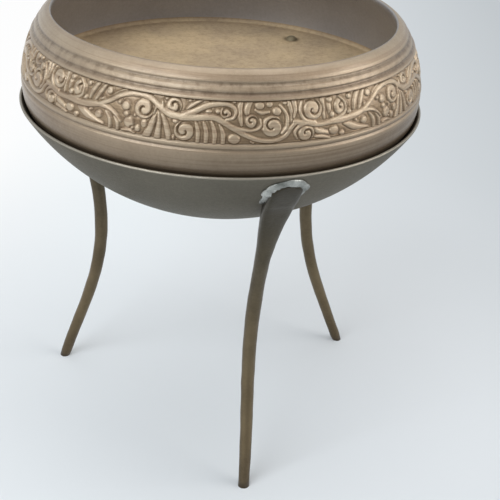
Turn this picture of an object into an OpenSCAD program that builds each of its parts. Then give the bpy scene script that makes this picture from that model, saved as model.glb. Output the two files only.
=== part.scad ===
// Incense burner: a turned brass bowl that sits loose in a round dish on three forged legs.
// Millimetres, +Z up. The origin is on the bowl's axis, at the level the feet stand on.
// The front leg points along -Y.

/* [Dish] */
// Height of the dish's rim above the surface it stands on
rim_h = 135; // [115:1:160]
// Depth of the dish outside, from its rim to its lowest point
dish_depth = 42.5; // [34:0.5:55]
// Thickness of the dish's sheet
dish_wall = 1.1; // [0.8:0.1:2]
// Gap between the bowl's belly and the outside of the dish's rim
rim_margin = 1.4; // [1.2:0.1:4]

/* [Bowl] */
// Diameter of the bowl at its belly, where it is widest
bowl_d = 147.2; // [130:0.2:170]
// Height of the belly above the dish's rim
belly_rise = 7; // [5:0.5:8]
// Height of the mouth above the dish's rim
mouth_rise = 32; // [31.5:0.5:38]
// Height of the lip's outer edge above the dish's rim
lip_rise = 29.5; // [28.4:0.1:31]
// How far the lip's outer edge lies inside the belly
lip_inset = 7.4; // [6:0.2:9]
// Width of the lip, from the mouth to its outer edge
lip_w = 4.1; // [3.5:0.1:6]
// Thickness of the bowl's wall
bowl_wall = 3; // [2:0.1:4]
// Thickness of the bowl's floor
floor_t = 3; // [2:0.1:4]
// Height of the floor's upper face above the dish's rim
floor_rise = 6; // [4:0.1:8]
// Height of the lip's inner edge
lip_edge = 1.8; // [1:0.1:2.4]

/* [Foot ring] */
// How far the foot ring's outside lies inside the belly
ring_inset = 4.2; // [3.5:0.1:8]
// Width of the foot ring
ring_w = 3.5; // [2.5:0.1:6]
// Clearance between the foot ring and the dish
seat_gap = 0.3; // [0.2:0.05:0.6]

/* [Turned bands] */
// Height of the carved band above the dish's rim, at its lower edge
frieze_low = 10.9; // [10:0.1:12]
// Height of the carved band, between its two fillets
frieze_h = 12.9; // [9:0.1:14]
// Depth of the carved band's ground
frieze_sink = 0.9; // [0.4:0.1:1.4]
// Height of each fillet that borders the carved band
fillet_h = 1.3; // [0.8:0.1:1.6]
// Number of times the scroll is repeated round the carved band
scroll_repeats = 5; // [4:1:6]
// Direction in which the scroll starts, in degrees from -Y towards +X
scroll_turn = 10.5; // [0:0.5:72]
// How far the tops of the carving stay under the band's fillets
relief_gap = 0.05; // [0:0.05:0.2]
// Width of a turned groove
groove_w = 1.2; // [0.5:0.1:1.4]
// Depth of a turned groove
groove_deep = 0.5; // [0.2:0.1:1]

/* [Plug] */
// Diameter of the domed plug in the bowl's floor
plug_d = 5; // [3:0.1:8]
// Height of the plug's dome above the floor
plug_dome = 1.5; // [0.8:0.1:2.4]
// How far the middle of the plug lies inside the belly
plug_inset = 16.6; // [12:0.2:40]
// Direction of the plug, in degrees from -Y towards +X
plug_turn = 132; // [0:1:359]

/* [Legs] */
// Thickness of a leg at its waist
leg_d = 5.4; // [4:0.1:8]
// Thickness of a leg at its foot
foot_d = 4.4; // [3:0.1:7]
// How far the middle of each foot lies inside the dish's rim
foot_inset = 7.5; // [-2:0.5:16]
// How far each leg's waist lies inside the dish's rim
waist_inset = 24; // [19:0.5:30]
// How far the waist lies below the dish's rim
waist_drop = 68; // [60:1:76]
// Lean of a foot out of the vertical, in degrees
foot_splay = 16; // [4:1:24]
// Width of a leg's flattened head
head_w = 11; // [8:0.5:14]
// Thickness of a leg's flattened head at its top
head_tip_t = 1.2; // [0.8:0.1:2]
// Thickness of a leg's flattened head where it leaves the dish
head_t = 2.8; // [2:0.1:4]
// Distance from the dish's rim to the top of a leg's head
head_drop = 4.2; // [3.6:0.2:7]
// Length of the head that lies against the dish
head_lap = 11; // [8:0.5:15]
// Length of the head's rounded top
head_nose = 4.5; // [3:0.5:7]
// Sideways lean of the front, left and right foot
foot_lean = [-7, 8, -15]; // [-16:0.5:16]
// Direction of the front, left and right leg, in degrees from -Y towards +X
leg_turn = [0, -128, 115]; // [-180:1:180]

/* [Solder] */
// Width of the solder run round each head
solder_w = 3; // [1:0.1:3.4]
// Height of the solder run against the head
solder_t = 1.1; // [0.6:0.1:1.4]
// Clearance between a head and the solder round it
solder_gap = 0.05; // [0.03:0.01:0.2]
// Length of the solder run down each side of a head, below its rounded top
solder_side = 5; // [3:0.5:7]

/* [Hidden] */
turned_fn = 144;
small_fn = 48;

// The dish is part of a ball: its radius and the height of its centre
dish_r = bowl_d / 2 + rim_margin;
ball_r = (pow(dish_r, 2) + pow(dish_depth, 2)) / (2 * dish_depth);
ball_z = rim_h - dish_depth + ball_r;
rim_angle = asin(dish_r / ball_r);

function ball_point(angle, radius) = [radius * sin(angle), ball_z - radius * cos(angle)];
function ball_inside_z(r) = ball_z - sqrt(pow(ball_r - dish_wall, 2) - pow(r, 2));
function arc_angle(length) = length / ball_r * 180 / PI;

// The shoulder is an arc that is upright at the belly and passes through the lip's outer edge
belly_r = bowl_d / 2;
shoulder_h = lip_rise - belly_rise;
shoulder_rho = (pow(shoulder_h, 2) + pow(lip_inset, 2)) / (2 * lip_inset);

// Radius of the shoulder's outside at a height above the rim, with an offset towards the axis
function shoulder(rise, offset = 0) =
    belly_r - shoulder_rho + sqrt(pow(shoulder_rho - offset, 2) - pow(rise - belly_rise, 2));

// The underside is an arc from the belly to the top of the foot ring
ring_r = belly_r - ring_inset;
ring_foot_rise = ball_inside_z(ring_r) + seat_gap - rim_h;
under_top_rise = ring_foot_rise + 2;
under_h = belly_rise - under_top_rise;
under_step = 20;

function under(angle) = [belly_r - ring_inset * (1 - cos(angle)), belly_rise - under_h * sin(angle)];

// A groove turned into the shoulder, as three points going down
function groove(rise) = [
    [shoulder(rise + groove_w / 2), rise + groove_w / 2],
    [shoulder(rise) - groove_deep, rise],
    [shoulder(rise - groove_w / 2), rise - groove_w / 2]
];

frieze_top = frieze_low + frieze_h;
upper_groove = frieze_top + fillet_h + groove_w / 2;
lower_groove = frieze_low - fillet_h - groove_w / 2;
frieze_steps = 4;

lip_r = belly_r - lip_inset;
mouth_r = lip_r - lip_w;
inner_top_rise = mouth_rise - lip_edge - 2.2;
corner = 1.5;
corner_r = shoulder(floor_rise + corner, bowl_wall);

// Outside of the bowl from the lip down, then its underside, floor and inside, back up to the lip
outside = concat(
    [[mouth_r + 0.6, mouth_rise], [(mouth_r + lip_r) / 2 + 0.5, mouth_rise - 0.6]],
    groove(lip_rise - groove_w),
    groove(upper_groove),
    [[shoulder(frieze_top), frieze_top]],
    [for (i = [0:frieze_steps])
        let (rise = frieze_top - 0.3 - (frieze_h - 0.6) * i / frieze_steps)
        [shoulder(rise) - frieze_sink, rise]],
    [[shoulder(frieze_low), frieze_low]],
    groove(lower_groove),
    [[belly_r, belly_rise]],
    [for (angle = [under_step:under_step:80]) under(angle)],
    [[ring_r, under_top_rise], [ring_r, ring_foot_rise]]
);
inside = concat(
    [[ring_r - ring_w, ring_foot_rise], [ring_r - ring_w, floor_rise - floor_t], [0, floor_rise - floor_t]],
    [[0, floor_rise], [corner_r - corner, floor_rise]],
    [for (angle = [30, 60]) [corner_r - corner * (1 - sin(angle)), floor_rise + corner * (1 - cos(angle))]],
    [for (i = [0:6])
        let (rise = floor_rise + corner + (inner_top_rise - floor_rise - corner) * i / 6)
        [shoulder(rise, bowl_wall), rise]],
    [[mouth_r, mouth_rise - lip_edge], [mouth_r, mouth_rise - 0.5]]
);

// A leg's middle line in its own plane: along the dish, in to the waist and out to the foot
function bezier(p, c, d, q, t) =
    pow(1 - t, 3) * p + 3 * pow(1 - t, 2) * t * c + 3 * (1 - t) * t * t * d + pow(t, 3) * q;
head_angle = rim_angle - arc_angle(head_drop);
lap_angle = head_angle - arc_angle(head_lap);

// A head's middle lies a quarter of its thickness outside the dish, which cuts it flush
function head_out(length) = (head_tip_t + (head_t - head_tip_t) * length / head_lap) / 4;
lap_end = ball_point(lap_angle, ball_r + head_out(head_lap));
neck_pull = 8;
waist_pull = 24;
foot_pull = 27;
waist = [dish_r - waist_inset, rim_h - waist_drop];
toe = [dish_r - foot_inset, 0];
toe_dir = [sin(foot_splay), -cos(foot_splay)];

// The rounded top is a half ellipse, sampled at these angles
nose_angles = [8, 28, 50, 70, 90];
nose_line = [for (angle = nose_angles) head_nose * (1 - cos(angle))];
lap_lengths = concat(nose_line, [(head_nose + head_lap) / 2, head_lap]);
lap_line = [for (length = lap_lengths)
    ball_point(head_angle - arc_angle(length), ball_r + head_out(length))];
neck_line = [for (i = [1:9])
    bezier(lap_end, lap_end - neck_pull * [cos(lap_angle), sin(lap_angle)],
           waist + [0, waist_pull], waist, i / 9)];
shin_line = [for (i = [1:9])
    bezier(waist, waist - [0, waist_pull], toe - foot_pull * toe_dir, toe, i / 9)];
middle_line = concat(lap_line, neck_line, shin_line, [toe + 4 * toe_dir]);
stations = len(middle_line);

// Sizes across the leg at a height: the flat head turns round at the neck and tapers to the foot
neck_end = rim_h - 46;
function ease(x) = let (t = min(1, max(0, x))) t * t * (3 - 2 * t);
function neck_share(z) = ease((lap_end[1] + 2 - z) / (lap_end[1] + 2 - neck_end));
function taper(z) = foot_d + (leg_d - foot_d) * min(1, max(0, z / waist[1]));
function nose(i) = i < len(nose_angles) ? sin(nose_angles[i]) : 1;
function leg_width(i) = let (z = middle_line[i][1])
    nose(i) * (head_w + (taper(z) - head_w) * neck_share(z));
function leg_depth(i) = let (
    z = middle_line[i][1],
    head = 6 * head_out(i < len(lap_lengths) ? lap_lengths[i] : head_lap))
    head + (taper(z) - head) * neck_share(z);
function leg_way(i) = let (
    a = middle_line[max(0, i - 1)],
    b = middle_line[min(stations - 1, i + 1)]) (b - a) / norm(b - a);
function sideways(i, lean) = lean * pow(max(0, 1 - middle_line[i][1] / lap_end[1]), 2);

// A rounded oblong at the head, where the squareness is 1, and an ellipse where it is 0
function bulge(x, squareness) = sign(x) * pow(abs(x), 1 - squareness / 2);

// A tube through rings of points, closed at both ends
module skin(rings) {
    sides = len(rings[0]);
    last = len(rings) - 1;
    polyhedron(
        points = [for (ring = rings) each ring],
        faces = concat(
            [[for (k = [0:sides - 1]) k]],
            [for (i = [0:last - 1], k = [0:sides - 1]) [
                i * sides + k,
                (i + 1) * sides + k,
                (i + 1) * sides + (k + 1) % sides,
                i * sides + (k + 1) % sides]],
            [[for (k = [sides - 1:-1:0]) last * sides + k]]));
}

module dish_ball(radius) {
    translate([0, 0, ball_z]) sphere(r = radius, $fn = turned_fn);
}

module leg_rod(lean) {
    leg_sides = 16;
    skin([for (i = [0:stations - 1])
        let (
            way = leg_way(i),
            across = [-way[1], way[0]],
            squareness = 1 - neck_share(middle_line[i][1]))
        [for (k = [0:leg_sides - 1])
            let (
                side = leg_width(i) / 2 * bulge(cos(360 * k / leg_sides), squareness),
                out = leg_depth(i) / 2 * bulge(sin(360 * k / leg_sides), squareness),
                at = middle_line[i] + out * across)
            [side + sideways(i, lean), -at[0], at[1]]]]);
}

module leg(index) {
    color("darkkhaki")
    rotate([0, 0, leg_turn[index]])
    difference() {
        leg_rod(foot_lean[index]);
        dish_ball(ball_r);
        translate([-dish_r, -2 * dish_r, -20]) cube([2 * dish_r, 2 * dish_r, 20]);
    }
}

// The head's outline on the dish, up one side, round the top and down the other, with the
// direction away from the head: each item is [sideways, down from the rim, away]
function beside_nose(angle) =
    [head_w / 2 * sin(angle), head_drop + head_nose * (1 - cos(angle)), [sin(angle), -cos(angle)]];
nose_sides = concat(
    [for (i = [len(nose_angles) - 1:-1:0]) beside_nose(-nose_angles[i])],
    [for (angle = nose_angles) beside_nose(angle)]);
head_sides = [for (share = [1, 0.75, 0.4]) head_drop + head_nose + share * solder_side];
solder_line = concat(
    [for (down = head_sides) [-head_w / 2, down, [-1, 0]]],
    nose_sides,
    [for (i = [2:-1:0]) [head_w / 2, head_sides[i], [1, 0]]]
);

// Point over the dish's outside: sideways, down from the rim and out from the surface
function over_dish(x, down, out) = let (
    angle = rim_angle - arc_angle(down),
    turn = arc_angle(x) / sin(angle),
    p = ball_point(angle, ball_r + out))
    [p[0] * sin(turn), -p[0] * cos(turn), p[1]];

// A run of solder: a rounded slope from the head's side to the dish, thin at both ends
module solder(index) {
    last = len(solder_line) - 1;
    color("lightslategray")
    rotate([0, 0, leg_turn[index]])
    skin([for (i = [0:last])
        let (
            x = solder_line[i][0],
            down = solder_line[i][1],
            away = solder_line[i][2],
            swell = (i == 0 || i == last) ? 0.3 : 1)
        concat(
            [for (angle = [90:-22.5:0])
                let (run = solder_gap + swell * solder_w * cos(angle))
                over_dish(x + run * away[0], down + run * away[1], swell * solder_t * sin(angle))],
            [for (share = [0.66, 0.33, 0])
                let (run = solder_gap + share * swell * solder_w)
                over_dish(x + run * away[0], down + run * away[1], 0)])]);
}

// The scroll is drawn flat on a sheet of this size, in millimetres along it and up it, and then laid
// round the carved band
scroll_long = 85;
scroll_high = 12.9;

// How far the carving's roots reach into the wall, and how much narrower a stroke is at its top
relief_root = 0.3;
relief_slope = 0.3;
relief_top = frieze_sink - relief_gap;

// Running stem and its branches: the middle line, then the width at its start and its end
stems = [
    [[[73, 6.3], [79, 5.2], [85, 5.1], [91, 5.1], [97, 6.3], [102, 9], [107, 11.7], [111.5, 12.1],
      [116, 10.7], [120, 8.5], [124.2, 7.4], [129.4, 7.8], [133.6, 8.1], [137, 6.6], [140, 4.8], [143.4, 2.9],
      [147.2, 1.4], [151.4, 1.1], [154.8, 2.3], [157.2, 5]], 1.9, 1.5],
    [[[41.6, 9.6], [46, 11.3], [50, 12], [53.4, 11.8], [55.2, 10.2], [54.4, 8.6]], 1.6, 1.1],
    [[[92, 3.5], [97, 4.4], [101, 4.4], [104, 3.2], [105.6, 1.6]], 0.8, 0.9],
    [[[57, 5.6], [60, 4.3], [62.6, 5], [62.9, 7.2]], 1, 0.9],
    [[[74.9, 12.3], [74.6, 9.4], [76, 7.8]], 0.9, 1.1]
];
// Fronds, in the same form
fronds = [
    [[[5.8, 3.7], [9.4, 1.9], [14.6, 0.9]], 2, 0.8],
    [[[9, 8.2], [9.8, 10.2], [11.4, 12.6]], 0.9, 1.6],
    [[[11.2, 8.2], [12.2, 10.2], [14, 12.6]], 0.9, 1.4],
    [[[30.8, 6.4], [30, 3.2], [28.9, 0.4]], 1.2, 2.3],
    [[[32.7, 6.8], [32.6, 3.4], [32.4, 0.4]], 1, 2],
    [[[34.5, 6], [35.4, 3], [36.2, 0.4]], 1, 1.9],
    [[[44.4, 5.8], [44.2, 3], [44.3, 0.4]], 1, 1.3],
    [[[46.8, 6.1], [46.6, 3], [46.7, 0.4]], 1, 1.3],
    [[[49.3, 5.8], [49.1, 3], [49.1, 0.4]], 1, 1.3],
    [[[56.9, 7.4], [56.7, 10], [56.8, 12.6]], 1, 1.5],
    [[[59.4, 9.8], [59.2, 11.2], [59.6, 12.6]], 1.3, 1.7],
    [[[71.8, 7.4], [71.9, 10], [71.3, 12.6]], 1, 1.4],
    [[[82.8, 7.2], [82.7, 10], [82.7, 12.6]], 1, 1.4],
    [[[85.3, 7.2], [85.2, 10], [85, 12.6]], 1, 1.4],
    [[[79.9, 2.9], [82.6, 2.2], [86.2, 1.6]], 1.6, 0.8]
];
// Volutes and berries: the middle, half the width and half the height
buds = [
    [[4.2, 9.3], 2.5, 2.5], [[27.6, 8.1], 2.8, 2.8], [[36.9, 10.4], 2.1, 2.1], [[40.3, 3.3], 2.8, 2.8],
    [[52.3, 9.2], 1.6, 1.6], [[59.9, 7.2], 1.7, 1.7], [[66, 5.6], 3, 3], [[76.6, 2.6], 2.3, 2.3],
    [[79.2, 9.6], 2.7, 2.7], [[12.7, 3.8], 1.2, 1.2], [[17, 10.9], 1.4, 1.3], [[21.9, 6.4], 1.4, 1.3],
    [[23.4, 3.3], 1.6, 1.7], [[54.9, 1.8], 1.8, 1.5], [[63.4, 11.2], 1.5, 1.2], [[67.6, 10.6], 1.4, 1.3]
];

// Point over the carved band's ground, from its place on the sheet and its height over the ground
function on_band(place, out) = let (
    angle = scroll_turn + 360 / scroll_repeats * place[0] / scroll_long,
    rise = frieze_low + frieze_h * place[1] / scroll_high,
    r = shoulder(rise) - frieze_sink + out)
    [r * sin(angle), -r * cos(angle), rim_h + rise];

// A carved stroke along a line: its root lies in the bowl's wall and its sides slope in to its top
module stroke(line, start_w, end_w) {
    last = len(line) - 1;
    skin([for (i = [0:last])
        let (
            way = line[min(last, i + 1)] - line[max(0, i - 1)],
            half_w = (start_w + (end_w - start_w) * i / last) / 2,
            across = [-way[1], way[0]] / norm(way),
            side = half_w * across,
            top_side = (half_w - relief_slope / 2) * across)
        [
            on_band(line[i] + side, -relief_root),
            on_band(line[i] + top_side, relief_top),
            on_band(line[i] - top_side, relief_top),
            on_band(line[i] - side, -relief_root)
        ]]);
}

// A carved volute or berry, with the same root and slope
module bud(middle, half_w, half_h) {
    bud_sides = 8;
    skin([for (level = [[0, -relief_root], [relief_slope / 2, relief_top]])
        [for (k = [0:bud_sides - 1])
            let (
                angle = 360 * (k + 0.5) / bud_sides,
                edge = [(half_w - level[0]) * cos(angle), (half_h - level[0]) * sin(angle)])
            on_band(middle + edge, level[1])]]);
}

module scroll() {
    for (item = concat(stems, fronds)) stroke(item[0], item[1], item[2]);
    for (item = buds) bud(item[0], item[1], item[2]);
}

module stand_dish() {
    color("darkolivegreen")
    difference() {
        dish_ball(ball_r);
        dish_ball(ball_r - dish_wall);
        translate([0, 0, rim_h + ball_r]) cube(2 * ball_r, center = true);
    }
}

module leg_front() { leg(0); }
module leg_left() { leg(1); }
module leg_right() { leg(2); }
module solder_front() { solder(0); }
module solder_left() { solder(1); }
module solder_right() { solder(2); }

module at_plug() {
    rotate([0, 0, plug_turn]) translate([0, plug_inset - belly_r, rim_h + floor_rise]) children();
}

module bowl() {
    color("tan")
    difference() {
        union() {
            translate([0, 0, rim_h]) rotate_extrude($fn = turned_fn) polygon(concat(outside, inside));
            for (i = [0:scroll_repeats - 1]) rotate([0, 0, 360 / scroll_repeats * i]) scroll();
        }
        at_plug() translate([0, 0, -floor_t - 1]) cylinder(d = plug_d - 1, h = floor_t + 2, $fn = small_fn);
    }
}

module floor_plug() {
    dome_rho = (pow(plug_d / 2, 2) + pow(plug_dome, 2)) / (2 * plug_dome);
    color("saddlebrown")
    at_plug() {
        translate([0, 0, -floor_t]) cylinder(d = plug_d - 1, h = floor_t, $fn = small_fn);
        intersection() {
            translate([0, 0, plug_dome - dome_rho]) sphere(r = dome_rho, $fn = small_fn);
            cylinder(d = plug_d, h = 2 * plug_dome, $fn = small_fn);
        }
    }
}

stand_dish();
leg_front();
leg_left();
leg_right();
solder_front();
solder_left();
solder_right();
bowl();
floor_plug();
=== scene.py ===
"""Looks of a brass incense burner: a carved bowl, loose in a round dish on three forged legs.

Metres, +Z up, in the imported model's own frame. The named sizes are millimetres, and MM turns them into metres.
A height called rise is over the dish's rim.
"""
import math

import bpy
import bmesh
import numpy as np
from mathutils import Matrix, Vector, noise


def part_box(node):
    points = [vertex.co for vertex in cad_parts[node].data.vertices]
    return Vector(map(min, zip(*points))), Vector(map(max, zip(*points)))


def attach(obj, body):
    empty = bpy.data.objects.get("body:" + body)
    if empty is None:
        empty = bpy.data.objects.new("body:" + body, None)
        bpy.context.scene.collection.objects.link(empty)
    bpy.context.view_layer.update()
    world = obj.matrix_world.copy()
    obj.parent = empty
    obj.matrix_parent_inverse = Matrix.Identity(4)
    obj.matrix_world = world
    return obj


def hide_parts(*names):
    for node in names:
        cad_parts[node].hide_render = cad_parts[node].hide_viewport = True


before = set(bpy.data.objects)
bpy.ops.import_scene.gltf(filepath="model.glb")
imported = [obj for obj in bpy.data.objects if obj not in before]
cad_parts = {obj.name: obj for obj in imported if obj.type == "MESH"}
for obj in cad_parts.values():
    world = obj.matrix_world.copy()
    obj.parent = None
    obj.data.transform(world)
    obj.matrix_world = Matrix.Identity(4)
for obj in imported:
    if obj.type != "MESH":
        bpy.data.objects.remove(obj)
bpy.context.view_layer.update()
MM = 0.001

# ---------------------------------------------------------------- sizes, in millimetres

dish_low, dish_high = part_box("stand_dish")
bowl_low, bowl_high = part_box("bowl")

# The dish is a sheet cut from a ball
RIM_H = dish_high.z / MM
DISH_R = (dish_high.x - dish_low.x) / 2 / MM
DISH_DEPTH = RIM_H - dish_low.z / MM
DISH_WALL = 1.1
BALL_R = (DISH_R ** 2 + DISH_DEPTH ** 2) / (2 * DISH_DEPTH)
BALL_Z = RIM_H - DISH_DEPTH + BALL_R
RIM_ANGLE = math.asin(DISH_R / BALL_R)

# The bowl: belly, shoulder, lip, inside and foot ring
BELLY_R = DISH_R - 1.4
BELLY_RISE = 7
LIP_INSET = 7.4
LIP_RISE = 29.5
LIP_EDGE = 1.8
MOUTH_R = BELLY_R - LIP_INSET - 4.1
MOUTH_RISE = bowl_high.z / MM - RIM_H
SHOULDER_H = LIP_RISE - BELLY_RISE
SHOULDER_RHO = (SHOULDER_H ** 2 + LIP_INSET ** 2) / (2 * LIP_INSET)
BOWL_WALL = 3
FLOOR_T = 3
FLOOR_RISE = 6
CORNER = 1.5
RING_R = BELLY_R - 4.2
RING_W = 3.5
RING_RISE = bowl_low.z / MM - RIM_H
RING_CHAMFER = 0.3

# The sunk band between its two fillets, and the turned grooves
FRIEZE_LOW = 10.9
FRIEZE_H = 12.9
FRIEZE_TOP = FRIEZE_LOW + FRIEZE_H
FRIEZE_SINK = 0.9
FILLET_H = 1.3
FILLET_SWELL = 0.12
GROOVE_W = 1.2
GROOVE_DEEP = 0.5
GROOVES = (LIP_RISE - GROOVE_W, FRIEZE_TOP + FILLET_H + GROOVE_W / 2, FRIEZE_LOW - FILLET_H - GROOVE_W / 2)

# Faces round the bowl and the dish
BOWL_SIDES = 384
DISH_SIDES = 256


def shoulder(rise, offset=0.0):
    """Radius of the bowl's shoulder at a height above the dish's rim."""
    return BELLY_R - SHOULDER_RHO + np.sqrt((SHOULDER_RHO - offset) ** 2 - (rise - BELLY_RISE) ** 2)


CORNER_R = float(shoulder(FLOOR_RISE + CORNER, BOWL_WALL))


def smooth(x):
    """Eases from 0 to 1 as x does."""
    x = np.clip(x, 0, 1)
    return x * x * (3 - 2 * x)


# ---------------------------------------------------------------- meshes

def make_piece(name, vertices, faces, body, node):
    """A smooth-shaded mesh of points in millimetres, which rides on a body and stands for a node."""
    mesh = bpy.data.meshes.new(name)
    mesh.from_pydata([tuple(c * MM for c in v) for v in vertices], [], faces)
    mesh.validate()
    mesh.shade_smooth()
    piece = bpy.data.objects.new(name, mesh)
    bpy.context.scene.collection.objects.link(piece)
    dress(piece, body, node)
    point_mesh_outwards(piece)
    return piece


def dress(piece, body, node):
    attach(piece, body)
    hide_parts(node)


def point_mesh_outwards(piece):
    bm = bmesh.new()
    bm.from_mesh(piece.data)
    bmesh.ops.recalc_face_normals(bm, faces=bm.faces)
    bm.to_mesh(piece.data)
    bm.free()


def ring_faces(rings, sides):
    """Quads between rings of points, with a cap on the first and last ring."""
    faces = []
    for i in range(rings - 1):
        a, b = i * sides, (i + 1) * sides
        for k in range(sides):
            n = (k + 1) % sides
            faces.append((a + k, a + n, b + n, b + k))
    faces.append(tuple(range(sides - 1, -1, -1)))
    faces.append(tuple((rings - 1) * sides + k for k in range(sides)))
    return faces


def turn_profile(profile, sides):
    """Points and faces of a profile turned about the axis. It starts or ends on the axis at a pole."""
    points, rows = [], []
    for r, z in profile:
        if r < 1e-6:
            rows.append([len(points)])
            points.append((0, 0, z))
            continue
        rows.append(range(len(points), len(points) + sides))
        for k in range(sides):
            angle = 2 * math.pi * k / sides
            points.append((r * math.cos(angle), r * math.sin(angle), z))
    faces = []
    for row, below in zip(rows, rows[1:] + rows[:1]):
        for k in range(sides):
            n = (k + 1) % sides
            if len(row) == 1 and len(below) == 1:
                break
            if len(row) == 1:
                faces.append((row[0], below[k], below[n]))
            elif len(below) == 1:
                faces.append((row[k], below[0], row[n]))
            else:
                faces.append((row[k], below[k], below[n], row[n]))
    return points, faces


# ---------------------------------------------------------------- the bowl

def bowl_outside(rise):
    """Turned outside of the bowl from the belly to the lip, with grooves, fillets and the carved ground."""
    radius = shoulder(rise)
    for middle in GROOVES:
        radius = radius - GROOVE_DEEP * np.exp(-((rise - middle) / (0.42 * GROOVE_W)) ** 2)
    ground = smooth((rise - FRIEZE_LOW + 0.15) / 0.3) * smooth((FRIEZE_TOP + 0.15 - rise) / 0.3)
    for middle in (FRIEZE_LOW - FILLET_H / 2, FRIEZE_TOP + FILLET_H / 2):
        radius = radius + FILLET_SWELL * np.exp(-((rise - middle) / (0.4 * FILLET_H)) ** 2)
    return radius - ground * (FRIEZE_SINK + 0.2)


def lip_profile():
    """The crowned top of the lip, from the mouth outwards."""
    inner_r = MOUTH_R + 0.5
    outer_r = BELLY_R - LIP_INSET
    for t in np.linspace(0, 1, 12):
        crown = 0.33 * math.sin(math.pi * t)
        yield inner_r + (outer_r - inner_r) * t, MOUTH_RISE + (LIP_RISE - MOUTH_RISE) * t ** 1.3 + crown


def bowl_profile():
    """The bowl's outline as radius and height, from the lip down the outside and up the inside."""
    profile = list(lip_profile())
    for rise in np.arange(LIP_RISE - 0.22, BELLY_RISE, -0.22):
        profile.append((float(bowl_outside(rise)), rise))
    ring_top = RING_RISE + 2
    for angle in np.radians(np.arange(0, 90, 9)):
        profile.append((BELLY_R - (BELLY_R - RING_R) * (1 - math.cos(angle)),
                        BELLY_RISE - (BELLY_RISE - ring_top) * math.sin(angle)))
    under = FLOOR_RISE - FLOOR_T
    ring_in = RING_R - RING_W
    profile += [(RING_R, ring_top), (RING_R, RING_RISE + RING_CHAMFER), (RING_R - RING_CHAMFER, RING_RISE),
                (ring_in + RING_CHAMFER, RING_RISE), (ring_in, RING_RISE + RING_CHAMFER),
                (ring_in, under), (0, under), (0, FLOOR_RISE)]
    for r in np.linspace(6, CORNER_R - CORNER, 14):
        profile.append((r, FLOOR_RISE))
    for angle in np.radians((20, 40, 60, 80)):
        profile.append((CORNER_R - CORNER * (1 - math.sin(angle)), FLOOR_RISE + CORNER * (1 - math.cos(angle))))
    lip_under = MOUTH_RISE - LIP_EDGE
    for rise in np.linspace(FLOOR_RISE + CORNER, lip_under - 2.2, 14):
        profile.append((float(shoulder(rise, BOWL_WALL)), rise))
    profile += [(MOUTH_R + 0.4, lip_under - 0.2), (MOUTH_R, lip_under + 0.3),
                (MOUTH_R, MOUTH_RISE - 0.5), (MOUTH_R + 0.15, MOUTH_RISE - 0.12)]
    return [(r, RIM_H + rise) for r, rise in profile]


# ---------------------------------------------------------------- the carved band

# One repeat of the scroll. Places are millimetres along the band and up it.
SCROLL_LONG = 85.0
SCROLL_REPEATS = 5
# Direction in which the scroll starts, in degrees from -Y towards +X
SCROLL_TURN = 10.5
# Points of two repeats that are closer than this become one
WELD_MM = 0.02
# Height of the ground between the shapes, against 0 in the deepest cuts and 1 on top
GROUND = 0.3
# Width of the cut round a shape and of its rounded edge, and the edge's height against the middle's
CUT_W = 0.46
EDGE_W = 0.38
EDGE_SHARE = 0.87

# Stems: middle line, then the width at its start, middle and end
STEMS = (
    (((39.3, 7.5), (43, 9.4), (46.4, 11.2), (50, 12), (53.4, 11.8), (55.2, 10.2),
      (54.6, 8.2), (52.6, 7.6)), 2.2, 1.5, 1.0),
    (((39.3, 7.4), (44.4, 7.8), (48.6, 8.1), (52, 6.6), (55, 4.8), (58.4, 2.9), (62.2, 1.4),
      (66.4, 1.1), (69.8, 2.3), (71.8, 4.8), (73.8, 6.6)), 2.2, 1.6, 1.3),
    (((73, 6.5), (76.6, 5.9), (80.4, 5), (85, 5.1), (90, 5), (96, 6), (101, 8.4), (105.4, 11.1), (110, 12.2),
      (114.6, 11.6), (117.6, 9.6), (120.6, 8.1), (125.2, 7.4)), 1.6, 1.6, 2.1),
    (((84.6, 5.1), (91, 5.6), (96.4, 6.4), (100.6, 6.2), (103.6, 4.9), (105.6, 3)), 1.6, 1.5, 0.8),
    (((51.2, 6.8), (55.6, 5.1), (59.6, 4.4), (62.4, 5.4), (62.6, 7.6)), 1.4, 1.1, 0.8),
    (((68.6, 11.6), (70.6, 8.8), (70.6, 5.4), (69, 3.4)), 0.8, 1.3, 1.1),
    (((33.2, 11.2), (34, 8.6), (36, 7.4), (39.6, 7.4)), 0.9, 1.2, 1.6),
    (((24.6, 11.6), (29.4, 12.1), (31.4, 10), (31, 7.4)), 0.9, 1.1, 0.8),
    (((76.6, 5.8), (74.2, 4.9), (73, 3.2), (73.8, 1.2)), 1.2, 1.1, 0.7),
    (((75.6, 12.3), (74.9, 9.4), (76.4, 6.8), (79.6, 5.8)), 0.8, 1.2, 1.2),
    (((88.6, 12.4), (90.6, 10.4), (90.4, 7.6), (88, 6.2), (85, 5.6)), 0.8, 1.2, 1.2),
)
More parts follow.
